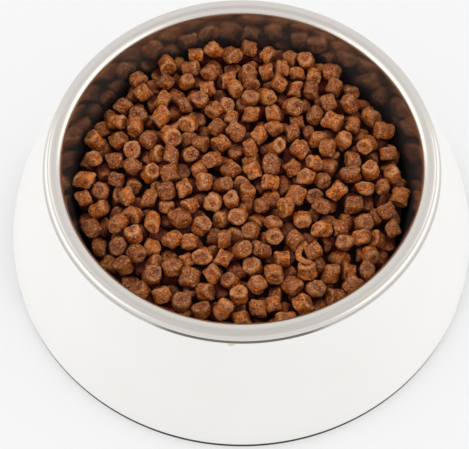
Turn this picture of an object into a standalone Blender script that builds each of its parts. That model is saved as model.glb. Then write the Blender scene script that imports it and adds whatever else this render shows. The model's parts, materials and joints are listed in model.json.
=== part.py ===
"""Pet food bowl filled with kibble.

A bowl pressed from thin steel hangs by its rolled rim in the top opening of a moulded stand. The stand
flares down to a wide foot, has a finger notch at each side and stands on two rubber grip strips. The
origin is on the surface that it stands on, under the bowl's centre. X runs across the two notches, the
front is at -Y, and Z is up. All sizes are in metres.
"""
import math

import bmesh
import bpy
import numpy as np
from mathutils import Vector
from mathutils.geometry import delaunay_2d_cdt

# Shared values
SURFACE_GAP = 0.0003       # left between pieces that touch
ROUND_SEGMENTS = 80
MERGE_DISTANCE = 0.000001

# Moulded stand
FOOT_RADIUS = 0.1095       # outer radius at the bottom edge
STAND_HEIGHT = 0.0594      # bottom edge to the ledge that carries the bowl
SHOULDER_MARGIN = 0.0002   # stand's shoulder beyond the rim's edge
WALL_BULGE = 1.42          # 1 is a straight cone; more is fuller, and upright at the foot
WALL_THICKNESS = 0.0025
WALL_STEPS = 6
LEDGE_ROUNDING = 0.0008
COLLAR_DEPTH = 0.006       # how far the opening's collar reaches down
FLANGE_WIDTH = 0.0070      # inward flange at the foot
FLANGE_HEIGHT = 0.0030

# Finger notches in the foot
NOTCH_HALF_WIDTH = 0.046
NOTCH_HEIGHT = 0.0070
NOTCH_SQUARENESS = 3.0     # 2 is an ellipse-like arch; more has a flatter top
NOTCH_STEPS = 16

# Rubber grip strips
GRIP_HEIGHT = 0.0026
GRIP_WIDTH = 0.0056
GRIP_RIB_WIDTH = 0.0020
GRIP_RIB_HEIGHT = 0.0012
GRIP_END_ANGLE = math.radians(20)   # from the X axis to each end

# Steel bowl
SHEET = 0.0008
BOWL_DEPTH = 0.0480        # rim crown to the inside of the floor
MOUTH_RADIUS = 0.0773      # inside the rim
WALL_TAPER = math.radians(6)
FLOOR_CORNER = 0.0140
CORNER_STEPS = 4
RIM_WIDTH = 0.0077
RIM_INNER_CURVE = 0.0036
RIM_SAG = 0.00035          # fall from the crown to the bead
BEAD_RADIUS = 0.0022
BEAD_END_ANGLE = math.radians(-5)   # where the rolled edge stops, from level
RIM_STEPS = 3
BOWL_CLEARANCE = 0.0010    # bowl wall to the stand's collar

# Kibble
FILL_DEPTH = 0.0150        # rim crown to the food's surface at the wall
DOME_RISE = 0.0030         # middle of the heap above its edge
PELLET_RADIUS = 0.00390
PELLET_RADIUS_SPREAD = 0.00040
PELLET_HALF_LENGTH = 0.00350
PELLET_HALF_LENGTH_SPREAD = 0.00070
LOOSE_DEPTH = 0.0160       # depth of the layer in which single pellets are laid
HEIGHT_CELL = 0.0005       # cell of the height map that pellets are laid on
PELLET_TRIES = 10          # pellets let down at once, of which the lowest stays
PELLET_ATTEMPTS = 2200
MISSES_TO_STOP = 60
ROLL_STEPS = 24
PELLET_NESTLE = 0.0004     # how far a pellet settles into its neighbours
PELLET_SEED = 7
CREVICE_DEPTH = 0.0038     # deepest crevice that the fused heap keeps between pellets
VISIBLE_CELLS = 50         # a pellet with fewer cells in view gets no top of its own
TOP_CORNERS = 6            # points on a pellet's top
TOP_SPACING = 0.0014
CREVICE_SPACING = 0.0026
OUT_OF_REACH = 1.0         # height of the wall on the height map

# Sizes that follow
SHOULDER_RADIUS = MOUTH_RADIUS + RIM_WIDTH + SHOULDER_MARGIN
STAND_BOTTOM = GRIP_HEIGHT + SURFACE_GAP
LEDGE_TOP = STAND_BOTTOM + STAND_HEIGHT
BEAD_BOTTOM = LEDGE_TOP + SURFACE_GAP
CROWN = BEAD_BOTTOM + BEAD_RADIUS * (1 - math.sin(BEAD_END_ANGLE)) + RIM_SAG
FLOOR_TOP = CROWN - BOWL_DEPTH
FILL_EDGE = CROWN - FILL_DEPTH


def clear_scene():
    for item in list(bpy.data.objects):
        bpy.data.objects.remove(item, do_unlink=True)


def make_material(name, colour, roughness, metallic=0.0):
    material = bpy.data.materials.new(name)
    material.use_nodes = True
    shader = material.node_tree.nodes["Principled BSDF"]
    shader.inputs["Base Color"].default_value = (*colour, 1.0)
    shader.inputs["Roughness"].default_value = roughness
    shader.inputs["Metallic"].default_value = metallic
    return material


def add_object(name, shape, material, smooth_angle=35):
    mesh = bpy.data.meshes.new(name)
    shape.to_mesh(mesh)
    shape.free()
    mesh.shade_smooth()
    mesh.set_sharp_from_angle(angle=math.radians(smooth_angle))
    mesh.materials.append(material)
    item = bpy.data.objects.new(name, mesh)
    bpy.context.collection.objects.link(item)
    return item


def arc(centre, radius, start, end, steps):
    """Points on an arc in the (radius, height) plane, with angles in radians."""
    points = []
    for angle in np.linspace(start, end, steps + 1):
        points.append((centre[0] + radius * math.cos(angle), centre[1] + radius * math.sin(angle)))
    return points


def offset_path(path, distance):
    """Shift a (radius, height) path to its right-hand side by a distance."""
    points = np.array(path)
    runs = np.diff(points, axis=0)
    runs /= np.linalg.norm(runs, axis=1)[:, None]
    normals = np.column_stack((runs[:, 1], -runs[:, 0]))
    first = np.vstack((normals[:1], normals))
    last = np.vstack((normals, normals[-1:]))
    middle = first + last
    middle /= np.linalg.norm(middle, axis=1)[:, None]
    reach = distance / np.sum(middle * first, axis=1)
    return [tuple(point) for point in points + middle * reach[:, None]]


def spin_profile(profile, closed, angle=math.tau, start=0.0, steps=ROUND_SEGMENTS):
    """Turn a profile of (radius, height) points about Z, from a start angle through an angle."""
    shape = bmesh.new()
    points = []
    for radius, height in profile:
        points.append(shape.verts.new((radius * math.cos(start), radius * math.sin(start), height)))
    ends = points[1:] + points[:1] if closed else points[1:]
    edges = [shape.edges.new(pair) for pair in zip(points, ends)]
    bmesh.ops.spin(shape, geom=points + edges, cent=(0, 0, 0), axis=(0, 0, 1), angle=angle, steps=steps)
    bmesh.ops.remove_doubles(shape, verts=shape.verts, dist=MERGE_DISTANCE)
    open_edges = [edge for edge in shape.edges if edge.is_boundary]
    if open_edges:
        bmesh.ops.holes_fill(shape, edges=open_edges, sides=0)
    bmesh.ops.recalc_face_normals(shape, faces=shape.faces)
    return shape


# Moulded stand
def stand_radius(height):
    """Outer radius of the stand's wall at a height."""
    rise = (height - STAND_BOTTOM) / STAND_HEIGHT
    return SHOULDER_RADIUS + (FOOT_RADIUS - SHOULDER_RADIUS) * (1 - rise ** WALL_BULGE)


def bowl_outer_radius(height):
    """Outer radius of the steel bowl's straight wall at a height."""
    top = CROWN - RIM_INNER_CURVE
    return MOUTH_RADIUS + SHEET / math.cos(WALL_TAPER) - (top - height) * math.tan(WALL_TAPER)


def groove_edges():
    """Inner and outer radius of the rib that locates a grip strip in the foot."""
    middle = FOOT_RADIUS - FLANGE_WIDTH / 2
    return middle - GRIP_RIB_WIDTH / 2, middle + GRIP_RIB_WIDTH / 2


def stand_profile():
    wall_top = LEDGE_TOP - LEDGE_ROUNDING
    heights = np.linspace(STAND_BOTTOM, wall_top, WALL_STEPS + 1)
    outer = [(stand_radius(height), height) for height in heights]
    shoulder = (outer[-1][0] - LEDGE_ROUNDING, wall_top)
    opening = bowl_outer_radius(CROWN - RIM_INNER_CURVE) + BOWL_CLEARANCE
    lip = (opening + LEDGE_ROUNDING, wall_top)
    under_ledge = LEDGE_TOP - WALL_THICKNESS
    collar_bottom = LEDGE_TOP - COLLAR_DEPTH
    inner_heights = np.linspace(under_ledge, STAND_BOTTOM + FLANGE_HEIGHT, WALL_STEPS)
    inner = [(stand_radius(height) - WALL_THICKNESS, height) for height in inner_heights]
    rib_inner, rib_outer = groove_edges()
    groove_top = STAND_BOTTOM + GRIP_RIB_HEIGHT
    flange_inner = FOOT_RADIUS - FLANGE_WIDTH
    profile = outer
    profile += arc(shoulder, LEDGE_ROUNDING, math.radians(30), math.radians(90), 2)
    profile += arc(lip, LEDGE_ROUNDING, math.radians(90), math.radians(180), 2)
    profile += [(opening, collar_bottom), (opening + WALL_THICKNESS, collar_bottom)]
    profile += [(opening + WALL_THICKNESS, under_ledge)]
    profile += inner
    profile += [(flange_inner, STAND_BOTTOM + FLANGE_HEIGHT), (flange_inner, STAND_BOTTOM)]
    profile += [(rib_inner - SURFACE_GAP, STAND_BOTTOM), (rib_inner - SURFACE_GAP, groove_top)]
    profile += [(rib_outer + SURFACE_GAP, groove_top), (rib_outer + SURFACE_GAP, STAND_BOTTOM)]
    return profile


def make_notch_cutter():
    """A bar with an arched top that cuts both finger notches."""
    reach = FOOT_RADIUS * 1.1
    shape = bmesh.new()
    outline = [(-NOTCH_HALF_WIDTH, 0.0), (NOTCH_HALF_WIDTH, 0.0)]
    for side in np.linspace(1, -1, NOTCH_STEPS + 1):
        arch = NOTCH_HEIGHT * (1 - abs(side) ** NOTCH_SQUARENESS)
        outline.append((side * NOTCH_HALF_WIDTH, STAND_BOTTOM + arch))
    points = [shape.verts.new((-reach, across, height)) for across, height in outline]
    end = shape.faces.new(points)
    grown = bmesh.ops.extrude_face_region(shape, geom=[end])
    moved = [item for item in grown["geom"] if isinstance(item, bmesh.types.BMVert)]
    bmesh.ops.translate(shape, verts=moved, vec=(2 * reach, 0, 0))
    bmesh.ops.recalc_face_normals(shape, faces=shape.faces)
    return shape


def build_stand():
    material = make_material("stand_white", (0.86, 0.85, 0.83), 0.32)
    stand = add_object("stand", spin_profile(stand_profile(), closed=True), material)
    cutter = add_object("notch_cutter", make_notch_cutter(), material)
    cutter.hide_render = True
    cutter.display_type = "WIRE"
    cut = stand.modifiers.new("finger_notches", "BOOLEAN")
    cut.operation = "DIFFERENCE"
    cut.solver = "EXACT"
    cut.object = cutter


# Rubber grip strips
def grip_profile():
    inner = FOOT_RADIUS - GRIP_WIDTH
    rib_inner, rib_outer = groove_edges()
    rib_top = GRIP_HEIGHT + GRIP_RIB_HEIGHT
    return [(inner, 0.0), (FOOT_RADIUS, 0.0), (FOOT_RADIUS, GRIP_HEIGHT), (rib_outer, GRIP_HEIGHT),
            (rib_outer, rib_top), (rib_inner, rib_top), (rib_inner, GRIP_HEIGHT), (inner, GRIP_HEIGHT)]


def build_grip_strips():
    material = make_material("grip_rubber", (0.06, 0.058, 0.055), 0.75)
    sweep = math.pi - 2 * GRIP_END_ANGLE
    steps = round(ROUND_SEGMENTS * sweep / math.tau)
    for name, start in (("grip_strip_rear", GRIP_END_ANGLE), ("grip_strip_front", math.pi + GRIP_END_ANGLE)):
        add_object(name, spin_profile(grip_profile(), True, sweep, start, steps), material)


# Steel bowl
def bowl_inside_path(inset=0.0):
    """The bowl's inner face from the middle of its floor to the top of its straight wall."""
    corner = FLOOR_CORNER - inset
    wall_top = (MOUTH_RADIUS + RIM_INNER_CURVE - (RIM_INNER_CURVE + inset) * math.cos(WALL_TAPER),
                CROWN - RIM_INNER_CURVE + (RIM_INNER_CURVE + inset) * math.sin(WALL_TAPER))
    centre_height = FLOOR_TOP + FLOOR_CORNER
    arc_end = (corner * math.cos(WALL_TAPER), -corner * math.sin(WALL_TAPER))
    run = wall_top[1] - (centre_height + arc_end[1])
    centre = (wall_top[0] - run * math.tan(WALL_TAPER) - arc_end[0], centre_height)
    path = [(0.0, FLOOR_TOP + inset)]
    path += arc(centre, corner, math.radians(-90), -WALL_TAPER, CORNER_STEPS)
    path.append(wall_top)
    return path


def rim_path():
    """The rim's upper face, from the mouth's inner curve over the crown to the rolled edge."""
    inner_centre = (MOUTH_RADIUS + RIM_INNER_CURVE, CROWN - RIM_INNER_CURVE)
    bead_centre = (MOUTH_RADIUS + RIM_WIDTH - BEAD_RADIUS, CROWN - RIM_SAG - BEAD_RADIUS)
    path = arc(inner_centre, RIM_INNER_CURVE, math.pi - WALL_TAPER, math.radians(90), RIM_STEPS)[1:]
    flat = bead_centre[0] - inner_centre[0]
    for share in np.linspace(0, 1, RIM_STEPS)[1:-1]:
        path.append((inner_centre[0] + share * flat, CROWN - RIM_SAG * share ** 2))
    path += arc(bead_centre, BEAD_RADIUS, math.radians(90), BEAD_END_ANGLE, RIM_STEPS + 1)
    return path


def build_steel_bowl():
    face = bowl_inside_path() + rim_path()
    back = offset_path(face, SHEET)
    back[0] = (0.0, FLOOR_TOP - SHEET)
    material = make_material("bowl_steel", (0.62, 0.60, 0.57), 0.28, 1.0)
    add_object("steel_bowl", spin_profile(face + back[::-1], closed=False), material)


# Kibble
def fill_height(across, along):
    """Height of the food's surface above a point."""
    reach = (across ** 2 + along ** 2) / MOUTH_RADIUS ** 2
    return FILL_EDGE + DOME_RISE * (1 - reach)


def pellet_spans(axes, radii, half_lengths, cells):
    """Lowest and highest point of each tilted pellet over each cell, from its own centre."""
    across, along = np.meshgrid(cells, cells, indexing="ij")
    ax, ay, az = (axes[:, index, None, None] for index in range(3))
    az = np.where(np.abs(az) < 0.02, 0.02, az)
    slide = across * ax + along * ay
    round_a = np.maximum(1 - az ** 2, 1e-6)
    round_c = across ** 2 + along ** 2 - slide ** 2 - radii[:, None, None] ** 2
    under_root = (slide * az) ** 2 - round_a * round_c
    root = np.sqrt(np.maximum(under_root, 0))
    ends = np.stack(((half_lengths[:, None, None] - slide) / az, (-half_lengths[:, None, None] - slide) / az))
    low = np.maximum((slide * az - root) / round_a, ends.min(axis=0))
    high = np.minimum((slide * az + root) / round_a, ends.max(axis=0))
    inside = (under_root >= 0) & (high > low)
    return np.where(inside, low, OUT_OF_REACH), np.where(inside, high, -OUT_OF_REACH)


def rest_heights(heights, low, columns, rows, steps):
    """Height at which each pellet rests when let down over its cell."""
    last = len(heights) - 1
    window = (np.clip(columns[..., None, None] + steps[:, None], 0, last),
              np.clip(rows[..., None, None] + steps[None, :], 0, last))
    return (heights[window] - low).max(axis=(-2, -1))


def roll_down(heights, low, columns, rows, steps):
    """Move each pellet cell by cell to lower rests until it lies in a hollow."""
    around = [(2, 0), (-2, 0), (0, 2), (0, -2), (1, 1), (1, -1), (-1, 1), (-1, -1)]
    right, up = np.array(around).T
    pick = np.arange(len(columns))
    rests = rest_heights(heights, low, columns, rows, steps)
    for _ in range(ROLL_STEPS):
        near_columns = columns[:, None] + right
        near_rows = rows[:, None] + up
        near = rest_heights(heights, low[:, None], near_columns, near_rows, steps)
        lowest = np.argmin(near, axis=1)
        better = near[pick, lowest] < rests
        if not better.any():
            break
        rests = np.where(better, near[pick, lowest], rests)
        columns = np.where(better, near_columns[pick, lowest], columns)
        rows = np.where(better, near_rows[pick, lowest], rows)
    return rests, columns, rows


def lay_pellets():
    """Let pellets down one at a time, each rolling to a hollow, until the dome is full."""
    random = np.random.default_rng(PELLET_SEED)
    wall = MOUTH_RADIUS - (FILL_DEPTH + PELLET_RADIUS) * math.tan(WALL_TAPER) - SURFACE_GAP
    side = int(MOUTH_RADIUS / HEIGHT_CELL) + 2
    places = np.arange(-side, side + 1) * HEIGHT_CELL
    grid_x, grid_y = np.meshgrid(places, places, indexing="ij")
    heights = fill_height(grid_x, grid_y) - LOOSE_DEPTH
    heights[np.hypot(grid_x, grid_y) > wall] = OUT_OF_REACH
    owners = np.full(heights.shape, -1)
    largest = math.hypot(PELLET_RADIUS + PELLET_RADIUS_SPREAD, PELLET_HALF_LENGTH + PELLET_HALF_LENGTH_SPREAD)
    reach = int(largest / HEIGHT_CELL) + 1
    steps = np.arange(-reach, reach + 1)
    count = 0
    misses = 0
    for _ in range(PELLET_ATTEMPTS):
        axes = random.normal(size=(PELLET_TRIES, 3))
        axes /= np.linalg.norm(axes, axis=1)[:, None]
        axes *= np.sign(axes[:, 2:])
        radii = PELLET_RADIUS + PELLET_RADIUS_SPREAD * random.uniform(-1, 1, PELLET_TRIES)
        half_lengths = PELLET_HALF_LENGTH + PELLET_HALF_LENGTH_SPREAD * random.uniform(-1, 1, PELLET_TRIES)
        turns = random.uniform(0, math.tau, PELLET_TRIES)
        out = (wall - PELLET_RADIUS) * np.sqrt(random.uniform(0, 1, PELLET_TRIES))
        columns = np.rint(out * np.cos(turns) / HEIGHT_CELL).astype(int) + side
        rows = np.rint(out * np.sin(turns) / HEIGHT_CELL).astype(int) + side
        low, high = pellet_spans(axes, radii, half_lengths, steps * HEIGHT_CELL)
        rests, columns, rows = roll_down(heights, low, columns, rows, steps)
        excess = rests - fill_height(places[columns], places[rows])
        best = int(np.argmin(excess))
        if excess[best] > -PELLET_RADIUS:
            misses += 1
            if misses == MISSES_TO_STOP:
                break
            continue
        misses = 0
        spot = np.ix_(columns[best] + steps, rows[best] + steps)
        rest = rests[best] - PELLET_NESTLE
        top = rest + high[best]
        raised = top > heights[spot]
        owners[spot] = np.where(raised, count, owners[spot])
        heights[spot] = np.where(raised, top, heights[spot])
        count += 1
    return count, heights, owners, places


def top_points(count, heights, owners, places):
    """A few points on the top of each pellet in view."""
    points = []
    for number in range(count):
        columns, rows = np.nonzero(owners == number)
        if len(columns) < VISIBLE_CELLS:
            continue
        across = places[columns] - places[columns].mean()
        along = places[rows] - places[rows].mean()
        spread = np.hypot(across, along)
        sectors = np.floor((np.arctan2(along, across) + math.pi) / math.tau * TOP_CORNERS)
        for sector in range(TOP_CORNERS):
            members = np.nonzero(sectors == sector)[0]
            if len(members):
                middle = members[np.argsort(spread[members])[len(members) // 2]]
                column, row = columns[middle], rows[middle]
                points.append((places[column], places[row], heights[column, row]))
    return points


def crevice_points(heights, owners, places):
    """Low points along the borders between pellets, deepest first."""
    shifts = [(right, up) for right in (-1, 0, 1) for up in (-1, 0, 1)]
    near = np.stack([np.roll(heights, shift, axis=(0, 1)) for shift in shifts])
    nearby = [np.roll(heights, (3 * right, 3 * up), axis=(0, 1)) for right, up in shifts]
    highest = np.max([np.where(level < OUT_OF_REACH, level, 0) for level in nearby], axis=0)
    floors = np.maximum(near.min(axis=0), highest - CREVICE_DEPTH)
    borders = np.zeros(heights.shape, dtype=bool)
    for shift in shifts:
        borders |= owners != np.roll(owners, shift, axis=(0, 1))
    borders &= heights < OUT_OF_REACH
    columns, rows = np.nonzero(borders)
    order = np.argsort((floors - highest)[columns, rows], kind="stable")
    columns, rows = columns[order], rows[order]
    return list(zip(places[columns], places[rows], floors[columns, rows]))


def keep_spaced(kept, points, spacing, edge_radius):
    """Add the points that don't crowd one already kept, or the heap's edge."""
    for point in points:
        if math.hypot(point[0], point[1]) > edge_radius - spacing:
            continue
        if len(kept) and np.min(np.hypot(kept[:, 0] - point[0], kept[:, 1] - point[1])) < spacing:
            continue
        kept = np.vstack((kept, point))
    return kept


def build_kibble_heap():
    count, heights, owners, places = lay_pellets()
    path = bowl_inside_path(SURFACE_GAP)
    wall_top = path.pop()
    edge_height = FILL_EDGE - CREVICE_DEPTH / 2
    edge_radius = wall_top[0] - (wall_top[1] - edge_height) * math.tan(WALL_TAPER)
    tops = top_points(count, heights, owners, places)
    crevices = crevice_points(heights, owners, places)
    lows = keep_spaced(np.empty((0, 3)), crevices, CREVICE_SPACING, edge_radius)
    kept = keep_spaced(lows, tops, TOP_SPACING, edge_radius)
    shape = bmesh.new()
    turns = np.arange(ROUND_SEGMENTS) * math.tau / ROUND_SEGMENTS
    flat = [Vector((edge_radius * math.cos(turn), edge_radius * math.sin(turn))) for turn in turns]
    flat += [Vector(point[:2]) for point in kept]
    level = [edge_height] * ROUND_SEGMENTS + list(kept[:, 2])
    border = [(index, (index + 1) % ROUND_SEGMENTS) for index in range(ROUND_SEGMENTS)]
    flat, _, faces, sources, _, _ = delaunay_2d_cdt(flat, border, [], 0, MERGE_DISTANCE)
    corners = []
    for place, source in zip(flat, sources):
        corners.append(shape.verts.new((place.x, place.y, level[source[0]])))
    for face in faces:
        shape.faces.new([corners[index] for index in face])
    for radius, height in reversed(path[1:]):
        open_edges = [edge for edge in shape.edges if edge.is_boundary]
        grown = bmesh.ops.extrude_edge_only(shape, edges=open_edges)
        for item in grown["geom"]:
            if isinstance(item, bmesh.types.BMVert):
                share = radius / math.hypot(item.co.x, item.co.y)
                item.co = (item.co.x * share, item.co.y * share, height)
    open_edges = [edge for edge in shape.edges if edge.is_boundary]
    bmesh.ops.holes_fill(shape, edges=open_edges, sides=0)
    bmesh.ops.recalc_face_normals(shape, faces=shape.faces)
    material = make_material("kibble_brown", (0.33, 0.12, 0.055), 0.6)
    add_object("kibble_heap", shape, material)


def main():
    clear_scene()
    build_stand()
    build_grip_strips()
    build_steel_bowl()
    build_kibble_heap()


main()
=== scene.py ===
"""Looks of a pet food bowl filled with kibble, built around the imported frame.

Fine meshes stand for the stand, the steel bowl and the grip strips, and single pellets stand for the
heap of food. All sizes are in metres. The front is at -Y and Z is up.
"""
import json
import math

import bmesh
import bpy
import numpy as np
from mathutils import Matrix, Vector, noise

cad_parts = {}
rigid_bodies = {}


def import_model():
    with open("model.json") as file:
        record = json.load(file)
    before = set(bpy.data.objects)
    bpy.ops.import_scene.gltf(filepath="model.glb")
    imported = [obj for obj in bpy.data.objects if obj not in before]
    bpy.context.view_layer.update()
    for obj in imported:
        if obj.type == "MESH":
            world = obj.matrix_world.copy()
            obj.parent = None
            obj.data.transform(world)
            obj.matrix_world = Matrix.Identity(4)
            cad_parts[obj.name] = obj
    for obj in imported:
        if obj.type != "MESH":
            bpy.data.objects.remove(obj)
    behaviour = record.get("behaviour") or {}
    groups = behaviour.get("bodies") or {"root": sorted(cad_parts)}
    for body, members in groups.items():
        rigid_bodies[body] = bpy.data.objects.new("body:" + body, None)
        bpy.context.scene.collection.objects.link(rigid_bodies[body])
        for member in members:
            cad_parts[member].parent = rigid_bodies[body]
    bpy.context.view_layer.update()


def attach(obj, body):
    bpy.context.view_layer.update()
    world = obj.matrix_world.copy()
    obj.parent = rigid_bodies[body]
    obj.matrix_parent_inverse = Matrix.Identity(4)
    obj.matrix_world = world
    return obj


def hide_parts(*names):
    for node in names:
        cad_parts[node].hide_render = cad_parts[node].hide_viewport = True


BODY = "root"

# Construction sizes, as in the frame
SURFACE_GAP = 0.0003
FOOT_RADIUS = 0.1095
STAND_HEIGHT = 0.0594
SHOULDER_MARGIN = 0.0002
WALL_BULGE = 1.42
WALL_THICKNESS = 0.0025
LEDGE_ROUNDING = 0.0008
COLLAR_DEPTH = 0.006
FLANGE_WIDTH = 0.0070
FLANGE_HEIGHT = 0.0030
NOTCH_HALF_WIDTH = 0.046
NOTCH_HEIGHT = 0.0070
NOTCH_SQUARENESS = 3.0
GRIP_HEIGHT = 0.0026
GRIP_WIDTH = 0.0056
GRIP_RIB_WIDTH = 0.0020
GRIP_RIB_HEIGHT = 0.0012
GRIP_END_ANGLE = math.radians(20)
SHEET = 0.0008
BOWL_DEPTH = 0.0480
MOUTH_RADIUS = 0.0773
WALL_TAPER = math.radians(6)
FLOOR_CORNER = 0.0140
RIM_WIDTH = 0.0077
RIM_INNER_CURVE = 0.0036
RIM_SAG = 0.00035
BEAD_RADIUS = 0.0022
BEAD_END_ANGLE = math.radians(-5)
BOWL_CLEARANCE = 0.0010
FILL_DEPTH = 0.0150
DOME_RISE = 0.0030
PELLET_RADIUS = 0.00390
PELLET_RADIUS_SPREAD = 0.00040
PELLET_HALF_LENGTH = 0.00350
PELLET_HALF_LENGTH_SPREAD = 0.00070
LOOSE_DEPTH = 0.0160

# How the pellets are let down into the bowl
HEIGHT_CELL = 0.0005
PELLET_TRIES = 10
PELLET_ATTEMPTS = 2200
MISSES_TO_STOP = 60
ROLL_STEPS = 24
PELLET_NESTLE = 0.0004
PELLET_SEED = 7
OUT_OF_REACH = 1.0

# Levels and sizes that follow from those above
SHOULDER_RADIUS = MOUTH_RADIUS + RIM_WIDTH + SHOULDER_MARGIN
STAND_BOTTOM = GRIP_HEIGHT + SURFACE_GAP
LEDGE_TOP = STAND_BOTTOM + STAND_HEIGHT
BEAD_BOTTOM = LEDGE_TOP + SURFACE_GAP
CROWN = BEAD_BOTTOM + BEAD_RADIUS * (1 - math.sin(BEAD_END_ANGLE)) + RIM_SAG
FLOOR_TOP = CROWN - BOWL_DEPTH
FILL_EDGE = CROWN - FILL_DEPTH

# Fineness of the visible meshes
FINE_SEGMENTS = 288
FINE_WALL_STEPS = 40
FINE_CORNER_STEPS = 12
FINE_RIM_STEPS = 10
NOTCH_STEPS = 48
MERGE_DISTANCE = 0.000001
PELLET_SIDES = 26
PELLET_PIECES = 4
BED_SEGMENTS = 96
SMOOTH_ANGLE = 35               # degrees, past which an edge stays sharp
RIM_SMOOTH_ANGLE = 50

# Form of the single pellets
ROUNDING_RANGE = (0.26, 0.58)   # of the radius
WAIST_RANGE = (-0.04, 0.10)
TAPER_SPREAD = 0.05
OVAL_SPREAD = 0.06
HOLLOW_RANGE = (-0.06, 0.16)    # of the half length
SLANT_SPREAD = 0.16
LUMPS = ((0.0036, 0.00085), (0.0016, 0.00050), (0.0008, 0.00022))       # width and swell
PINHOLE_SHARE = 0.22            # of the pellets
PINHOLE_REACH = 0.15            # of the flat end
PINHOLE_DEPTH = 0.0024
LEAST_TILT = 0.02
CREVICE_REACHES = (3, 6, 9)     # in cells of the height map
CREVICE_DIRECTIONS = 12
FACTS_NAME = "pellet"           # tone, end, edge and depth, in the place of red, green, blue and alpha

# Marks that the photograph shows
# Painted shade in the seam under the rim's bead, darker towards the front
SEAM_SHADE = (0.0008, 0.0003)   # below the ledge's top
SEAM_FRONT = (-0.0765, -0.0815)
SMEAR_PLACE = (-0.0036, -0.0857, 0.0612)
SMEAR_SIZE = (0.0019, 0.0019, 0.0009)
SATIN_EDGE = (0.0035, 0.0020)   # below the crown
TURNING_MARK = 0.004            # squeeze of the marks along a turn
SLIVER_PATH = (
    (0.0278, -0.0350), (0.0252, -0.0370), (0.0243, -0.0397), (0.0262, -0.0427), (0.0290, -0.0450),
)
SLIVER_RADIUS = 0.0014
SLIVER_SIDES = 14
SLIVER_STEPS = 24
SLIVER_TIP = 0.35               # of the radius
SLIVER_FLATNESS = 0.7
SLIVER_RUFFLE = (0.0012, 0.00025)       # width and swell
SLIVER_SMOOTH_ANGLE = 60
# The edge share makes the sliver paler, partly as a painted highlight
SLIVER_FACTS = (0.8, 0.2, 0.5, 0.0)

# Light
WORLD_LEVEL = 0.90
WORLD_TOP_LEVEL = 0.72
WORLD_DIMMING = (0.80, 0.98)    # heights where the dimming starts and ends
LAMP_DISTANCE = 1.2
LAMP_ELEVATION = 28             # degrees
LAMP_TURN = 2                   # degrees from the X axis towards the front
LAMP_WIDTH = 1.8
LAMP_HEIGHT = 1.0
LAMP_POWER = 3.4
FLOOR_SIZE = 3.0
FLOOR_WHITE = 0.95
FLOOR_WHITE_SHARE = 0.5         # of the floor as the camera and shiny surfaces see it

# Camera, from the photograph
PHOTO_WIDTH = 469
FOCAL_PIXELS = 998
SENSOR_WIDTH = 36
CAMERA_DISTANCE = 0.4297        # from the middle of the rim
CAMERA_ELEVATION = math.radians(58.33)
CAMERA_TARGET_HEIGHT = 0.0637
CAMERA_YAW = math.radians(0.39)
CAMERA_PITCH = math.radians(62.34)
CAMERA_ROLL = math.radians(0.55)


def clear_scene():
    for item in list(bpy.data.objects):
        bpy.data.objects.remove(item, do_unlink=True)


# Material nodes
class Graph:
    """A material's node tree, with short calls for the nodes used here."""

    def __init__(self, name):
        self.material = bpy.data.materials.new(name)
        self.material.use_nodes = True
        self.tree = self.material.node_tree
        self.shader = self.tree.nodes["Principled BSDF"]
        self.output = self.tree.nodes["Material Output"]

    def node(self, kind, settings=None, **inputs):
        node = self.tree.nodes.new(kind)
        for key, value in (settings or {}).items():
            setattr(node, key, value)
        for key, value in inputs.items():
            self.put(node, key.replace("_", " "), value)
        return node

    def put(self, node, socket, value):
        """Link an output to a socket, or set the socket's own value."""
        numbered = socket[:1] == "n" and socket[1:].isdigit()
        target = node.inputs[int(socket[1:]) if numbered else socket]
        if isinstance(value, bpy.types.NodeSocket):
            self.tree.links.new(value, target)
        else:
            target.default_value = value

    def math(self, operation, first, second=0.0):
        return self.node("ShaderNodeMath", {"operation": operation}, n0=first, n1=second).outputs[0]

    def fade(self, value, low, high, out_low=0.0, out_high=1.0):
        settings = {"interpolation_type": "SMOOTHSTEP"}
        node = self.node("ShaderNodeMapRange", settings, n0=value, n1=low, n2=high, n3=out_low, n4=out_high)
        return node.outputs[0]

    def mix(self, share, first, second):
        node = self.node("ShaderNodeMix", {"data_type": "RGBA"})
        self.put(node, "n0", share)
        self.put(node, "n6", first)
        self.put(node, "n7", second)
        return node.outputs[2]

    def noise(self, place, scale, detail=2.0, roughness=0.5):
        node = self.node("ShaderNodeTexNoise", Vector=place, Scale=scale, Detail=detail, Roughness=roughness)
        return node.outputs["Fac"]

    def place(self):
        return self.node("ShaderNodeTexCoord").outputs["Object"]

    def bump(self, height, distance, strength=1.0, normal=None):
        node = self.node("ShaderNodeBump", Height=height, Distance=distance, Strength=strength)
        if normal is not None:
            self.put(node, "Normal", normal)
        return node.outputs["Normal"]


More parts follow.
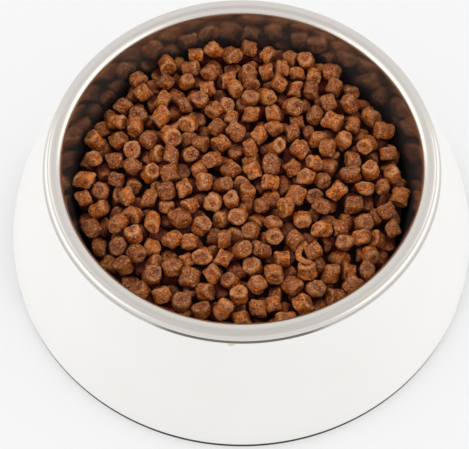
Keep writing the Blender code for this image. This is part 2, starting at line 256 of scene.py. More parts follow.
def stand_material():
    """White moulding, with painted shade in the seam under the rim, darkest at the front, and a smear of
    food at the front.
    """
    graph = Graph("stand_plastic")
    place = graph.place()
    parts = graph.node("ShaderNodeSeparateXYZ", Vector=place).outputs
    shade = graph.noise(place, 30, 3)
    white = graph.mix(shade, (0.86, 0.845, 0.82, 1), (0.90, 0.89, 0.87, 1))
    in_seam = graph.fade(parts["Z"], LEDGE_TOP - SEAM_SHADE[0], LEDGE_TOP - SEAM_SHADE[1])
    at_front = graph.fade(parts["Y"], *SEAM_FRONT, 0.35, 0.9)
    # Painted shade: the seam under the rim darkened, more at the front
    seam_shaded = graph.mix(graph.math("MULTIPLY", in_seam, at_front), white, (0.10, 0.075, 0.05, 1))
    away = graph.node("ShaderNodeVectorMath", {"operation": "SUBTRACT"}, n0=place, n1=SMEAR_PLACE).outputs[0]
    spread = graph.node("ShaderNodeVectorMath", {"operation": "DIVIDE"}, n0=away, n1=SMEAR_SIZE).outputs[0]
    reach = graph.node("ShaderNodeVectorMath", {"operation": "LENGTH"}, n0=spread).outputs["Value"]
    ragged = graph.math("ADD", reach, graph.fade(graph.noise(place, 1500, 3), 0.3, 0.7, -0.25, 0.25))
    smear = graph.fade(ragged, 0.2, 1.1, 0.65, 0.0)
    graph.put(graph.shader, "Base Color", graph.mix(smear, seam_shaded, (0.62, 0.39, 0.15, 1)))
    graph.put(graph.shader, "Roughness", graph.fade(graph.noise(place, 160, 3), 0.3, 0.7, 0.30, 0.38))
    graph.put(graph.shader, "Normal", graph.bump(graph.noise(place, 2200, 2), 0.00002, 0.25))
    return graph.material


def rubber_material():
    """Matt black rubber."""
    graph = Graph("grip_rubber")
    place = graph.place()
    shade = graph.noise(place, 300, 4)
    black = graph.mix(shade, (0.018, 0.017, 0.015, 1), (0.042, 0.040, 0.036, 1))
    graph.put(graph.shader, "Base Color", black)
    graph.put(graph.shader, "Roughness", graph.fade(shade, 0.2, 0.8, 0.7, 0.9))
    graph.put(graph.shader, "Specular IOR Level", 0.25)
    graph.put(graph.shader, "Normal", graph.bump(graph.noise(place, 2500, 3), 0.00004, 0.4))
    return graph.material


def steel_material():
    """Satin on the rim, polished and darker inside, with turning marks that run round the bowl."""
    graph = Graph("bowl_steel")
    place = graph.place()
    parts = graph.node("ShaderNodeSeparateXYZ", Vector=place).outputs
    across = graph.math("POWER", parts["X"], 2.0)
    along = graph.math("POWER", parts["Y"], 2.0)
    radius = graph.math("SQRT", graph.math("ADD", across, along))
    turn = graph.math("ARCTAN2", parts["Y"], parts["X"])
    squeezed = graph.math("MULTIPLY", turn, TURNING_MARK)
    lathe = graph.node("ShaderNodeCombineXYZ", X=squeezed, Y=radius, Z=parts["Z"]).outputs[0]
    marks = graph.noise(lathe, 5200, 3, 0.6)
    broad = graph.noise(lathe, 700, 2)
    on_rim = graph.fade(parts["Z"], CROWN - SATIN_EDGE[0], CROWN - SATIN_EDGE[1])
    inside = graph.mix(marks, (0.43, 0.42, 0.395, 1), (0.49, 0.48, 0.455, 1))
    satin = graph.mix(marks, (0.69, 0.655, 0.605, 1), (0.79, 0.755, 0.70, 1))
    finish = graph.fade(on_rim, 0, 1, 0.14, 0.24)
    rough = graph.math("ADD", finish, graph.fade(broad, 0.3, 0.7, -0.03, 0.05))
    graph.put(graph.shader, "Base Color", graph.mix(on_rim, inside, satin))
    graph.put(graph.shader, "Roughness", rough)
    graph.put(graph.shader, "Metallic", graph.fade(on_rim, 0, 1, 0.94, 1.0))
    graph.put(graph.shader, "Normal", graph.bump(marks, 0.00001, 0.35))
    return graph.material


def kibble_material():
    """Baked crust: orange sides and browner ends; a pale edge, partly its own and partly a painted
    highlight; painted highlights and painted shade in the grain; pores painted dark as shade; and painted
    shade, dark red, deep down.
    """
    graph = Graph("kibble_crust")
    place = graph.place()
    facts = graph.node("ShaderNodeAttribute", {"attribute_name": FACTS_NAME})
    split = graph.node("ShaderNodeSeparateColor", Color=facts.outputs["Color"]).outputs
    tone, end, edge, depth = split[0], split[1], split[2], facts.outputs["Alpha"]
    patches = graph.noise(place, 420, 4, 0.6)
    grain = graph.noise(place, 1300, 3, 0.6)
    side = graph.mix(graph.fade(patches, 0.35, 0.65), (0.22, 0.026, 0.001, 1), (0.72, 0.185, 0.012, 1))
    cap = graph.mix(graph.fade(patches, 0.35, 0.65), (0.21, 0.028, 0.002, 1), (0.60, 0.155, 0.022, 1))
    base = graph.mix(end, side, cap)
    # Pale edge: partly the crust's own pale rim, partly a painted highlight
    base = graph.mix(graph.math("MULTIPLY", edge, 0.50), base, (0.94, 0.48, 0.210, 1))
    toned = graph.mix(graph.fade(tone, 0.0, 0.9, 0.62, 0.0), base, (0.13, 0.016, 0.002, 1))
    batch = graph.fade(graph.noise(place, 90, 2), 0.40, 0.60, 0.0, 0.35)
    toned = graph.mix(batch, toned, (0.40, 0.110, 0.026, 1))
    pores = graph.node("ShaderNodeTexVoronoi", Vector=place, Scale=560).outputs["Distance"]
    pits = graph.fade(pores, 0.10, 0.24, 1.0, 0.0)
    # Painted highlights on the grain's peaks, and painted shade in its hollows below
    light = graph.mix(graph.fade(grain, 0.52, 0.70, 0.0, 0.70), toned, (1.00, 0.50, 0.120, 1))
    shade = graph.mix(graph.fade(grain, 0.32, 0.48, 0.60, 0.0), light, (0.070, 0.004, 0.0005, 1))
    # Pores painted near black: painted shade in the pits
    pitted = graph.mix(graph.math("MULTIPLY", pits, 0.8), shade, (0.030, 0.006, 0.002, 1))
    # Painted shade: the crust turns dark red deep below the food around each point
    with_deep_shade = graph.mix(graph.fade(depth, 0.0, 0.50, 0.0, 0.94), pitted, (0.085, 0.002, 0.0003, 1))
    graph.put(graph.shader, "Base Color", with_deep_shade)
    dull = graph.fade(depth, 0.0, 0.5, 0.0, 0.4)
    graph.put(graph.shader, "Roughness", graph.math("ADD", dull, graph.fade(grain, 0.3, 0.7, 0.44, 0.26)))
    graph.put(graph.shader, "Specular IOR Level", 0.42)
    rough = graph.bump(grain, 0.0005, 0.8)
    lumpy = graph.bump(patches, 0.0008, 0.7, rough)
    graph.put(graph.shader, "Normal", graph.bump(graph.math("SUBTRACT", 1.0, pits), 0.0004, 0.9, lumpy))
    return graph.material


def bed_shade_material():
    """Food deep in the gaps between the pellets, painted near black as shade."""
    graph = Graph("kibble_bed")
    shade = graph.noise(graph.place(), 500, 3)
    # Near black: painted shade for the gaps between the pellets
    brown = graph.mix(shade, (0.02, 0.004, 0.002, 1), (0.05, 0.012, 0.004, 1))
    graph.put(graph.shader, "Base Color", brown)
    graph.put(graph.shader, "Roughness", 0.9)
    return graph.material


# Turned shapes
def arc(centre, radius, start, end, steps):
    """Points on an arc in the (radius, height) plane, with angles in radians."""
    points = []
    for angle in np.linspace(start, end, steps + 1):
        points.append((centre[0] + radius * math.cos(angle), centre[1] + radius * math.sin(angle)))
    return points


def offset_path(path, distance):
    """Shift a (radius, height) path to its right-hand side by a distance."""
    points = np.array(path)
    runs = np.diff(points, axis=0)
    runs /= np.linalg.norm(runs, axis=1)[:, None]
    normals = np.column_stack((runs[:, 1], -runs[:, 0]))
    first = np.vstack((normals[:1], normals))
    last = np.vstack((normals, normals[-1:]))
    middle = first + last
    middle /= np.linalg.norm(middle, axis=1)[:, None]
    reach = distance / np.sum(middle * first, axis=1)
    return [tuple(point) for point in points + middle * reach[:, None]]


def spin_profile(profile, closed, angle=math.tau, start=0.0, steps=FINE_SEGMENTS):
    """Turn a profile of (radius, height) points about Z, from a start angle through an angle."""
    shape = bmesh.new()
    points = []
    for radius, height in profile:
        points.append(shape.verts.new((radius * math.cos(start), radius * math.sin(start), height)))
    ends = points[1:] + points[:1] if closed else points[1:]
    edges = [shape.edges.new(pair) for pair in zip(points, ends)]
    bmesh.ops.spin(shape, geom=points + edges, cent=(0, 0, 0), axis=(0, 0, 1), angle=angle, steps=steps)
    bmesh.ops.remove_doubles(shape, verts=shape.verts, dist=MERGE_DISTANCE)
    open_edges = [edge for edge in shape.edges if edge.is_boundary]
    if open_edges:
        bmesh.ops.holes_fill(shape, edges=open_edges, sides=0)
    bmesh.ops.recalc_face_normals(shape, faces=shape.faces)
    return shape


# Pieces in the scene
def mesh_from(name, shape):
    """Turn a bmesh into a mesh, and free it."""
    mesh = bpy.data.meshes.new(name)
    shape.to_mesh(mesh)
    shape.free()
    return mesh


def place_object(name, data):
    item = bpy.data.objects.new(name, data)
    bpy.context.collection.objects.link(item)
    return item


def smooth_faces(mesh, smooth_angle=SMOOTH_ANGLE):
    mesh.shade_smooth()
    mesh.set_sharp_from_angle(angle=math.radians(smooth_angle))


def tie_piece(name, mesh, material, replaced):
    """Make an object of a mesh, dress it, and tie it to the frame."""
    mesh.materials.append(material)
    item = place_object(name, mesh)
    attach(item, BODY)
    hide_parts(replaced)
    return item


def add_piece(name, shape, material, replaced, smooth_angle=SMOOTH_ANGLE):
    """Make a piece of a bmesh, shaded smoothly."""
    mesh = mesh_from(name, shape)
    smooth_faces(mesh, smooth_angle)
    return tie_piece(name, mesh, material, replaced)


# Moulded stand
def stand_radius(height):
    """Outer radius of the stand's wall, which is steeper at the foot."""
    rise = (height - STAND_BOTTOM) / STAND_HEIGHT
    return SHOULDER_RADIUS + (FOOT_RADIUS - SHOULDER_RADIUS) * (1 - rise ** WALL_BULGE)


def bowl_outer_radius(height):
    """Outer radius of the steel bowl's wall."""
    top = CROWN - RIM_INNER_CURVE
    return MOUTH_RADIUS + SHEET / math.cos(WALL_TAPER) - (top - height) * math.tan(WALL_TAPER)


def groove_edges():
    """Inner and outer radius of the rib that holds a strip in the foot's groove."""
    middle = FOOT_RADIUS - FLANGE_WIDTH / 2
    return middle - GRIP_RIB_WIDTH / 2, middle + GRIP_RIB_WIDTH / 2


def stand_profile():
    wall_top = LEDGE_TOP - LEDGE_ROUNDING
    heights = np.linspace(STAND_BOTTOM, wall_top, FINE_WALL_STEPS + 1)
    outer = [(stand_radius(height), height) for height in heights]
    shoulder = (outer[-1][0] - LEDGE_ROUNDING, wall_top)
    opening = bowl_outer_radius(CROWN - RIM_INNER_CURVE) + BOWL_CLEARANCE
    lip = (opening + LEDGE_ROUNDING, wall_top)
    under_ledge = LEDGE_TOP - WALL_THICKNESS
    collar_bottom = LEDGE_TOP - COLLAR_DEPTH
    inner_heights = np.linspace(under_ledge, STAND_BOTTOM + FLANGE_HEIGHT, FINE_WALL_STEPS)
    inner = [(stand_radius(height) - WALL_THICKNESS, height) for height in inner_heights]
    rib_inner, rib_outer = groove_edges()
    groove_top = STAND_BOTTOM + GRIP_RIB_HEIGHT
    flange_inner = FOOT_RADIUS - FLANGE_WIDTH
    profile = outer
    profile += arc(shoulder, LEDGE_ROUNDING, math.radians(30), math.radians(90), 6)
    profile += arc(lip, LEDGE_ROUNDING, math.radians(90), math.radians(180), 6)
    profile += [(opening, collar_bottom), (opening + WALL_THICKNESS, collar_bottom)]
    profile += [(opening + WALL_THICKNESS, under_ledge)]
    profile += inner
    profile += [(flange_inner, STAND_BOTTOM + FLANGE_HEIGHT), (flange_inner, STAND_BOTTOM)]
    profile += [(rib_inner - SURFACE_GAP, STAND_BOTTOM), (rib_inner - SURFACE_GAP, groove_top)]
    profile += [(rib_outer + SURFACE_GAP, groove_top), (rib_outer + SURFACE_GAP, STAND_BOTTOM)]
    return profile


def make_notch_cutter():
    """A long arched bar that cuts both finger notches."""
    reach = FOOT_RADIUS * 1.1
    shape = bmesh.new()
    outline = [(-NOTCH_HALF_WIDTH, 0.0), (NOTCH_HALF_WIDTH, 0.0)]
    for side in np.linspace(1, -1, NOTCH_STEPS + 1):
        arch = NOTCH_HEIGHT * (1 - abs(side) ** NOTCH_SQUARENESS)
        outline.append((side * NOTCH_HALF_WIDTH, STAND_BOTTOM + arch))
    points = [shape.verts.new((-reach, across, height)) for across, height in outline]
    end = shape.faces.new(points)
    grown = bmesh.ops.extrude_face_region(shape, geom=[end])
    moved = [item for item in grown["geom"] if isinstance(item, bmesh.types.BMVert)]
    bmesh.ops.translate(shape, verts=moved, vec=(2 * reach, 0, 0))
    bmesh.ops.recalc_face_normals(shape, faces=shape.faces)
    return place_object("notch_cutter", mesh_from("notch_cutter", shape))


def build_stand():
    shape = spin_profile(stand_profile(), closed=True)
    stand = add_piece("stand_shell", shape, stand_material(), "stand")
    cutter = make_notch_cutter()
    cut = stand.modifiers.new("finger_notches", "BOOLEAN")
    cut.operation = "DIFFERENCE"
    cut.solver = "EXACT"
    cut.object = cutter
    bpy.context.view_layer.update()
    evaluated = stand.evaluated_get(bpy.context.evaluated_depsgraph_get())
    finished = bpy.data.meshes.new_from_object(evaluated)
    stand.modifiers.clear()
    stand.data = finished
    bpy.data.objects.remove(cutter)
    smooth_faces(finished)


# Rubber grip strips
def grip_profile():
    inner = FOOT_RADIUS - GRIP_WIDTH
    rib_inner, rib_outer = groove_edges()
    rib_top = GRIP_HEIGHT + GRIP_RIB_HEIGHT
    return [(inner, 0.0), (FOOT_RADIUS, 0.0), (FOOT_RADIUS, GRIP_HEIGHT), (rib_outer, GRIP_HEIGHT),
            (rib_outer, rib_top), (rib_inner, rib_top), (rib_inner, GRIP_HEIGHT), (inner, GRIP_HEIGHT)]


def build_grip_strips():
    material = rubber_material()
    sweep = math.pi - 2 * GRIP_END_ANGLE
    steps = round(FINE_SEGMENTS * sweep / math.tau)
    for side, start in (("rear", GRIP_END_ANGLE), ("front", math.pi + GRIP_END_ANGLE)):
        shape = spin_profile(grip_profile(), True, sweep, start, steps)
        add_piece("rubber_strip_" + side, shape, material, "grip_strip_" + side)


# Steel bowl
def bowl_inside_path():
    """The bowl's inner face from the middle of its floor to the top of its wall."""
    wall_top = (MOUTH_RADIUS + RIM_INNER_CURVE - RIM_INNER_CURVE * math.cos(WALL_TAPER),
                CROWN - RIM_INNER_CURVE + RIM_INNER_CURVE * math.sin(WALL_TAPER))
    centre_height = FLOOR_TOP + FLOOR_CORNER
    arc_end = (FLOOR_CORNER * math.cos(WALL_TAPER), -FLOOR_CORNER * math.sin(WALL_TAPER))
    run = wall_top[1] - (centre_height + arc_end[1])
    centre = (wall_top[0] - run * math.tan(WALL_TAPER) - arc_end[0], centre_height)
    path = [(0.0, FLOOR_TOP)]
    path += arc(centre, FLOOR_CORNER, math.radians(-90), -WALL_TAPER, FINE_CORNER_STEPS)
    start = np.array(path[-1])
    for share in np.linspace(0, 1, FINE_CORNER_STEPS)[1:]:
        path.append(tuple(start + share * (np.array(wall_top) - start)))
    return path


def rim_path():
    """The rim from the wall's top over the flat to the end of its bead."""
    inner_centre = (MOUTH_RADIUS + RIM_INNER_CURVE, CROWN - RIM_INNER_CURVE)
    bead_centre = (MOUTH_RADIUS + RIM_WIDTH - BEAD_RADIUS, CROWN - RIM_SAG - BEAD_RADIUS)
    path = arc(inner_centre, RIM_INNER_CURVE, math.pi - WALL_TAPER, math.radians(90), FINE_RIM_STEPS)[1:]
    flat = bead_centre[0] - inner_centre[0]
    for share in np.linspace(0, 1, FINE_RIM_STEPS)[1:-1]:
        path.append((inner_centre[0] + share * flat, CROWN - RIM_SAG * share ** 2))
    path += arc(bead_centre, BEAD_RADIUS, math.radians(90), BEAD_END_ANGLE, FINE_RIM_STEPS)
    return path


def build_steel_bowl():
    face = bowl_inside_path() + rim_path()
    back = offset_path(face, SHEET)
    back[0] = (0.0, FLOOR_TOP - SHEET)
    shape = spin_profile(face + back[::-1], closed=False)
    add_piece("steel_dish", shape, steel_material(), "steel_bowl", RIM_SMOOTH_ANGLE)


# Kibble
def fill_height(across, along):
    """Height of the food's smooth dome over a place."""
    reach = (across ** 2 + along ** 2) / MOUTH_RADIUS ** 2
    return FILL_EDGE + DOME_RISE * (1 - reach)


def cell_of(values):
    """How many cells of the height map lie in each distance."""
    return np.rint(values / HEIGHT_CELL).astype(int)


def pellet_spans(axes, radii, half_lengths, cells):
    """Lowest and highest point of each tilted pellet over each cell, from its own centre."""
    across, along = np.meshgrid(cells, cells, indexing="ij")
    ax, ay, az = (axes[:, index, None, None] for index in range(3))
    radius = radii[:, None, None]
    half = half_lengths[:, None, None]
    az = np.where(np.abs(az) < LEAST_TILT, LEAST_TILT, az)
    slide = across * ax + along * ay
    round_a = np.maximum(1 - az ** 2, 1e-6)
    round_c = across ** 2 + along ** 2 - slide ** 2 - radius ** 2
    under_root = (slide * az) ** 2 - round_a * round_c
    root = np.sqrt(np.maximum(under_root, 0))
    ends = np.stack(((half - slide) / az, (-half - slide) / az))
    low = np.maximum((slide * az - root) / round_a, ends.min(axis=0))
    high = np.minimum((slide * az + root) / round_a, ends.max(axis=0))
    inside = (under_root >= 0) & (high > low)
    return np.where(inside, low, OUT_OF_REACH), np.where(inside, high, -OUT_OF_REACH)


def rest_heights(heights, low, columns, rows, steps):
    """Height at which each pellet rests when let down over its cell."""
    last = len(heights) - 1
    window = (np.clip(columns[..., None, None] + steps[:, None], 0, last),
              np.clip(rows[..., None, None] + steps[None, :], 0, last))
    return (heights[window] - low).max(axis=(-2, -1))


def roll_down(heights, low, columns, rows, steps):
    """Move each pellet cell by cell to lower rests until it lies in a hollow."""
    around = [(2, 0), (-2, 0), (0, 2), (0, -2), (1, 1), (1, -1), (-1, 1), (-1, -1)]
    right, up = np.array(around).T
    pick = np.arange(len(columns))
    rests = rest_heights(heights, low, columns, rows, steps)
    for _ in range(ROLL_STEPS):
        near_columns = columns[:, None] + right
        near_rows = rows[:, None] + up
        near = rest_heights(heights, low[:, None], near_columns, near_rows, steps)
        lowest = np.argmin(near, axis=1)
        better = near[pick, lowest] < rests
        if not better.any():
            break
        rests = np.where(better, near[pick, lowest], rests)
        columns = np.where(better, near_columns[pick, lowest], columns)
        rows = np.where(better, near_rows[pick, lowest], rows)
    return rests, columns, rows


def lay_pellets():
    """Let pellets down one at a time, each rolling to a hollow, until the dome is full."""
    random = np.random.default_rng(PELLET_SEED)
    wall = MOUTH_RADIUS - (FILL_DEPTH + PELLET_RADIUS) * math.tan(WALL_TAPER) - SURFACE_GAP
    side = int(MOUTH_RADIUS / HEIGHT_CELL) + 2
    places = np.arange(-side, side + 1) * HEIGHT_CELL
    grid_x, grid_y = np.meshgrid(places, places, indexing="ij")
    heights = fill_height(grid_x, grid_y) - LOOSE_DEPTH
    heights[np.hypot(grid_x, grid_y) > wall] = OUT_OF_REACH
    owners = np.full(heights.shape, -1)
    widest = PELLET_RADIUS + PELLET_RADIUS_SPREAD
    longest = PELLET_HALF_LENGTH + PELLET_HALF_LENGTH_SPREAD
    reach = int(math.hypot(widest, longest) / HEIGHT_CELL) + 1
    steps = np.arange(-reach, reach + 1)
    pellets = []
    misses = 0
    for _ in range(PELLET_ATTEMPTS):
        axes = random.normal(size=(PELLET_TRIES, 3))
        axes /= np.linalg.norm(axes, axis=1)[:, None]
        axes *= np.sign(axes[:, 2:])
        radii = PELLET_RADIUS + PELLET_RADIUS_SPREAD * random.uniform(-1, 1, PELLET_TRIES)
        half_lengths = PELLET_HALF_LENGTH + PELLET_HALF_LENGTH_SPREAD * random.uniform(-1, 1, PELLET_TRIES)
        turns = random.uniform(0, math.tau, PELLET_TRIES)
        out = (wall - PELLET_RADIUS) * np.sqrt(random.uniform(0, 1, PELLET_TRIES))
        columns = cell_of(out * np.cos(turns)) + side
        rows = cell_of(out * np.sin(turns)) + side
        low, high = pellet_spans(axes, radii, half_lengths, steps * HEIGHT_CELL)
        rests, columns, rows = roll_down(heights, low, columns, rows, steps)
        excess = rests - fill_height(places[columns], places[rows])
        best = int(np.argmin(excess))
        if excess[best] > -PELLET_RADIUS:
            misses += 1
            if misses == MISSES_TO_STOP:
                break
            continue
        misses = 0
        spot = np.ix_(columns[best] + steps, rows[best] + steps)
        rest = rests[best] - PELLET_NESTLE
        top = rest + high[best]
        raised = top > heights[spot]
        owners[spot] = np.where(raised, len(pellets), owners[spot])
        heights[spot] = np.where(raised, top, heights[spot])
        place = (places[columns[best]], places[rows[best]], rest)
        pellets.append((*place, *axes[best], radii[best], half_lengths[best]))
    in_view = np.isin(np.arange(len(pellets)), owners)
    return np.array(pellets)[in_view], heights, places


def pellet_rings():
    """One row for each ring of a pellet, from its upper end to its lower end.

    A ring's place is a share of the flat end, a part of the rounding outward, a share of the straight
    side and a part of the rounding upward. The last two values say how far it is end face and edge.
    """
    upper = [(share, 0.0, 1.0, 1.0, 1.0, 0.0) for share in (0.10, 0.20, 0.38, 0.55, 0.72, 0.88)]
    for turn in (90, 68, 45, 22, 0):
        rounding = math.radians(turn)
        edge = 1 - abs(turn - 60) / 60
        upper.append((1.0, math.cos(rounding), 1.0, math.sin(rounding), turn / 90, max(edge, 0.0)))
    middle = [(1.0, 1.0, share, 0.0, 0.0, 0.0) for share in (0.66, 0.33, 0.0, -0.33, -0.66)]
    lower = [(share, out, -up, -over, end, edge) for share, out, up, over, end, edge in reversed(upper)]
    return np.array(upper + middle + lower)


def roughen(local, outward, random):
    """Push the crust in and out with lumps and crumbs that differ from pellet to pellet."""
    for width, swell in LUMPS:
        for number, offset in enumerate(random.uniform(-50, 50, (len(local), 3))):
            spots = local[number] / width + offset
            pushes = np.array([noise.noise(spot) for spot in spots])
            local[number] += outward[number] * (pushes * swell)[:, None]
    return local


# This depth drives the painted shade in the kibble's colour.
def depth_below(spots, heights, places):
    """How far each point lies below the food around it, as a share of a pellet's thickness."""
    across, along = np.meshgrid(places, places, indexing="ij")
    level = np.where(heights < OUT_OF_REACH, heights, fill_height(across, along))
    shifts = []
    for turn in np.arange(CREVICE_DIRECTIONS) * math.tau / CREVICE_DIRECTIONS:
        for reach in CREVICE_REACHES:
            shifts.append((round(reach * math.cos(turn)), round(reach * math.sin(turn))))
    around = np.mean([np.roll(level, shift, axis=(0, 1)) for shift in shifts], axis=0)
    cells = np.clip(cell_of(spots[..., :2] - places[0]), 0, len(places) - 1)
    return np.clip((around[cells[..., 0], cells[..., 1]] - spots[..., 2]) / (2 * PELLET_RADIUS), 0, 1)


def pellet_bodies(pellets, random):
    """Vertices of lumpy pellets about their own middles and axes, one row for each pellet."""
    share, out, up, over = pellet_rings().T[:4, None, :, None]
    count = len(pellets)
    radius = pellets[:, 6, None, None]
    half = pellets[:, 7, None, None]
    rounding = radius * random.uniform(*ROUNDING_RANGE, (count, 1, 1))
    turn = np.arange(PELLET_SIDES) * math.tau / PELLET_SIDES
    reach = (radius - rounding) * share + rounding * out
    level = (half - rounding) * up + rounding * over
    waist = 1 - random.uniform(*WAIST_RANGE, (count, 1, 1)) * (1 - (level / half) ** 2)
    taper = 1 + random.normal(0, TAPER_SPREAD, (count, 1, 1)) * level / half
    oval = random.normal(0, OVAL_SPREAD, (count, 1, 1))
    x = reach * waist * taper * np.cos(turn) * (1 + oval)
    y = reach * waist * taper * np.sin(turn) * (1 - oval)
    dish = random.uniform(*HOLLOW_RANGE, (count, 1, 1)) * half
    hollow = dish * (1 - (reach / radius) ** 2) * np.sign(level)
    pinhole = np.where(random.uniform(0, 1, (count, 1, 1)) < PINHOLE_SHARE, PINHOLE_DEPTH, 0.0)
    hollow += pinhole * (share < PINHOLE_REACH) * np.sign(level)
    slant = random.normal(0, SLANT_SPREAD, (count, 1, 1)) * x * np.abs(level / half)
    body = np.stack((x, y, level - hollow + slant), axis=-1).reshape(count, -1, 3)
    poles = np.zeros((count, 2, 3))
    poles[:, 0, 2] = half[:, 0, 0] - hollow[:, 0, 0]
    poles[:, 1, 2] = -half[:, 0, 0] - hollow[:, -1, 0]
    local = np.concatenate((body, poles), axis=1)
    outward = local / np.stack((radius[:, 0], radius[:, 0], half[:, 0]), axis=-1)
    outward /= np.linalg.norm(outward, axis=2)[:, :, None]
    return roughen(local, outward, random)


def turn_pellets(local, pellets):
    """Turn each pellet to its axis, and move it to its place."""
    axis = pellets[:, 3:6]
    helper = np.where(np.abs(axis[:, 2:]) < 0.9, [[0.0, 0.0, 1.0]], [[1.0, 0.0, 0.0]])
    first = np.cross(helper, axis)
    first /= np.linalg.norm(first, axis=1)[:, None]
    second = np.cross(axis, first)
    return (local[:, :, 0:1] * first[:, None] + local[:, :, 1:2] * second[:, None]
            + local[:, :, 2:3] * axis[:, None] + pellets[:, None, :3])


def shape_pellets(pellets, heights, places, random):
    """Vertices and colour facts of the pellets, one row for each pellet."""
    world = turn_pellets(pellet_bodies(pellets, random), pellets)
    count = len(pellets)
    end, edge = pellet_rings().T[4:]
    tone = random.uniform(0, 1, (count, 1)) * np.ones((1, world.shape[1]))
    ends = np.tile(np.append(np.repeat(end, PELLET_SIDES), (1.0, 1.0)), (count, 1))
    edges = np.tile(np.append(np.repeat(edge, PELLET_SIDES), (0.0, 0.0)), (count, 1))
    facts = np.stack((tone, ends, edges, depth_below(world, heights, places)), axis=-1)
    return world, facts


def pellet_faces():
    """Faces of one pellet: bands between its rings, and a fan at each pole."""
    ring_count = len(pellet_rings())
    faces = []
    for side in range(PELLET_SIDES):
        after = (side + 1) % PELLET_SIDES
        for ring in range(ring_count - 1):
            upper, lower = ring * PELLET_SIDES, (ring + 1) * PELLET_SIDES
            faces.append((upper + side, lower + side, lower + after, upper + after))
        last = (ring_count - 1) * PELLET_SIDES
        faces.append((ring_count * PELLET_SIDES, side, after))
        faces.append((ring_count * PELLET_SIDES + 1, last + after, last + side))
    return faces


def write_facts(mesh, facts):
    colours = mesh.color_attributes.new(FACTS_NAME, "FLOAT_COLOR", "POINT")
    colours.data.foreach_set("color", np.asarray(facts, dtype=np.float32).ravel())


def build_kibble():
    shown, heights, places = lay_pellets()
    random = np.random.default_rng(PELLET_SEED + 1)
    world, facts = shape_pellets(shown, heights, places, random)
    size = world.shape[1]
    one = pellet_faces()
    material = kibble_material()
    groups = np.array_split(np.arange(len(shown)), PELLET_PIECES)
    for number, rows in enumerate(groups, start=1):
        name = "kibble_%d" % number
        mesh = bpy.data.meshes.new(name)
        faces = []
        for step in range(len(rows)):
            faces += [tuple(corner + step * size for corner in face) for face in one]
        mesh.from_pydata(world[rows].reshape(-1, 3).tolist(), [], faces)
        write_facts(mesh, facts[rows])
        mesh.shade_smooth()
        tie_piece(name, mesh, material, "kibble_heap")
    build_sliver(heights, places, material)


def sliver_middle(heights, places):
    """Points along the middle of the sliver, which lies on the pellets."""
    path = np.array(SLIVER_PATH)
    knots = np.linspace(0, 1, len(path))
    along = np.linspace(0, 1, SLIVER_STEPS)
    smooth = [np.polyval(np.polyfit(knots, path[:, axis], 3), along) for axis in (0, 1)]
    columns, rows = (cell_of(values - places[0]) for values in smooth)
    rests = heights[columns, rows]
    level = np.polyval(np.polyfit(along, np.maximum(rests, np.median(rests)), 2), along) + SLIVER_RADIUS
    return np.column_stack((*smooth, level))


def build_sliver(heights, places, material):
    """A thin curled strand of food."""
    middle = sliver_middle(heights, places)
    along = np.linspace(0, 1, SLIVER_STEPS)
    runs = np.gradient(middle, axis=0)
    runs /= np.linalg.norm(runs, axis=1)[:, None]
    aside = np.cross(runs, (0.0, 0.0, 1.0))
    aside /= np.linalg.norm(aside, axis=1)[:, None]
    upward = np.cross(aside, runs) * SLIVER_FLATNESS
    swells = np.sin(math.pi * (0.08 + 0.84 * along)) ** 0.5
    girths = SLIVER_RADIUS * (SLIVER_TIP + (1 - SLIVER_TIP) * swells)
    ruffle_width, ruffle_swell = SLIVER_RUFFLE
    shape = bmesh.new()
    rings = []
    for step in range(SLIVER_STEPS):
        ring = []
        for turn in np.arange(SLIVER_SIDES) * math.tau / SLIVER_SIDES:
            outward = math.cos(turn) * aside[step] + math.sin(turn) * upward[step]
            spot = middle[step] + girths[step] * outward
            spot += ruffle_swell * np.array(noise.noise_vector(Vector(spot) / ruffle_width))
            ring.append(shape.verts.new(spot))
        rings.append(ring)
    for ring, after in zip(rings, rings[1:]):
        for side in range(SLIVER_SIDES):
            near = (side + 1) % SLIVER_SIDES
            shape.faces.new((ring[side], ring[near], after[near], after[side]))
    shape.faces.new(rings[0][::-1])
    shape.faces.new(rings[-1])
    bmesh.ops.recalc_face_normals(shape, faces=shape.faces)
    piece = add_piece("kibble_sliver", shape, material, "kibble_heap", SLIVER_SMOOTH_ANGLE)
    write_facts(piece.data, np.tile(SLIVER_FACTS, len(piece.data.vertices)))


def build_bed():
    """The food below the pellets that show."""
    wall = MOUTH_RADIUS - (FILL_DEPTH + LOOSE_DEPTH) * math.tan(WALL_TAPER) - SURFACE_GAP * 4
    profile = [(0.0, FLOOR_TOP + SURFACE_GAP), (wall - FLOOR_CORNER, FLOOR_TOP + SURFACE_GAP)]
    profile += [(wall, FLOOR_TOP + FLOOR_CORNER), (wall, fill_height(wall, 0) - LOOSE_DEPTH)]
    for share in (0.75, 0.5, 0.25, 0.0):
        profile.append((wall * share, fill_height(wall * share, 0) - LOOSE_DEPTH))
    shape = spin_profile(profile, closed=False, steps=BED_SEGMENTS)
    add_piece("kibble_bed", shape, bed_shade_material(), "kibble_heap")


# Floor, light and camera
def build_floor():
    """A pale floor that keeps the shadow, and looks whiter to the camera and in the steel."""
    shape = bmesh.new()
    bmesh.ops.create_grid(shape, x_segments=1, y_segments=1, size=FLOOR_SIZE)
    mesh = mesh_from("floor", shape)
    graph = Graph("floor_pale")
    graph.put(graph.shader, "Base Color", (0.92, 0.92, 0.92, 1))
    graph.put(graph.shader, "Roughness", 0.7)
    graph.put(graph.shader, "Specular IOR Level", 0.1)
    ray = graph.node("ShaderNodeLightPath").outputs
    seen = graph.math("MAXIMUM", ray["Is Camera Ray"], ray["Is Glossy Ray"])
    white = graph.node("ShaderNodeEmission", Color=(1, 1, 1, 1), Strength=FLOOR_WHITE).outputs[0]
    both = graph.node("ShaderNodeMixShader", n0=graph.math("MULTIPLY", seen, FLOOR_WHITE_SHARE))
    graph.put(both, "n1", graph.shader.outputs[0])
    graph.put(both, "n2", white)
    graph.put(graph.output, "Surface", both.outputs[0])
    mesh.materials.append(graph.material)
    place_object("floor", mesh)


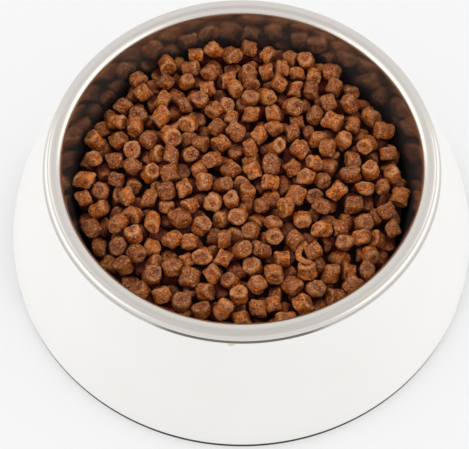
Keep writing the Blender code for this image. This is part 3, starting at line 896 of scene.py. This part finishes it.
def build_light():
    """A pale room, a little dimmer overhead, with a long soft light at each side."""
    world = bpy.data.worlds.new("studio")
    world.use_nodes = True
    bpy.context.scene.world = world
    nodes = world.node_tree.nodes
    links = world.node_tree.links
    rise = nodes.new("ShaderNodeSeparateXYZ")
    links.new(nodes.new("ShaderNodeTexCoord").outputs["Generated"], rise.inputs[0])
    dim = nodes.new("ShaderNodeMapRange")
    dim.inputs["From Min"].default_value = WORLD_DIMMING[0]
    dim.inputs["From Max"].default_value = WORLD_DIMMING[1]
    dim.inputs["To Min"].default_value = WORLD_LEVEL
    dim.inputs["To Max"].default_value = WORLD_TOP_LEVEL
    links.new(rise.outputs["Z"], dim.inputs["Value"])
    links.new(dim.outputs[0], nodes["Background"].inputs["Strength"])
    nodes["Background"].inputs["Color"].default_value = (1.0, 1.0, 1.0, 1.0)
    turn = math.radians(LAMP_TURN)
    lift = math.radians(LAMP_ELEVATION)
    for side in (-1, 1):
        level = (side * math.cos(turn) * math.cos(lift), -math.sin(turn) * math.cos(lift))
        place = Vector((*level, math.sin(lift)))
        data = bpy.data.lights.new("side_light", "AREA")
        data.shape = "RECTANGLE"
        data.size = LAMP_WIDTH
        data.size_y = LAMP_HEIGHT
        data.energy = LAMP_POWER
        lamp = place_object("side_light", data)
        lamp.location = place * LAMP_DISTANCE
        lamp.rotation_euler = place.to_track_quat("Z", "Y").to_euler()


def build_camera():
    """The photograph's camera, fitted to the rim and the foot."""
    data = bpy.data.cameras.new("camera")
    data.sensor_width = SENSOR_WIDTH
    data.lens = FOCAL_PIXELS / PHOTO_WIDTH * SENSOR_WIDTH
    data.clip_start = 0.01
    camera = place_object("camera", data)
    level = Matrix(((1, 0, 0), (0, 0, -1), (0, 1, 0)))
    turned = Matrix.Rotation(CAMERA_YAW, 3, "Y") @ Matrix.Rotation(CAMERA_PITCH, 3, "X") @ level
    rolled = Matrix.Diagonal((1, -1, -1)) @ Matrix.Rotation(CAMERA_ROLL, 3, "Z") @ turned
    turn = rolled.transposed().to_4x4()
    place = Vector((0, -math.cos(CAMERA_ELEVATION), math.sin(CAMERA_ELEVATION))) * CAMERA_DISTANCE
    place.z += CAMERA_TARGET_HEIGHT
    camera.matrix_world = Matrix.Translation(place) @ turn
    bpy.context.scene.camera = camera


clear_scene()
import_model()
bpy.context.scene.view_settings.view_transform = "Standard"
build_stand()
build_grip_strips()
build_steel_bowl()
build_kibble()
build_bed()
build_floor()
build_light()
build_camera()
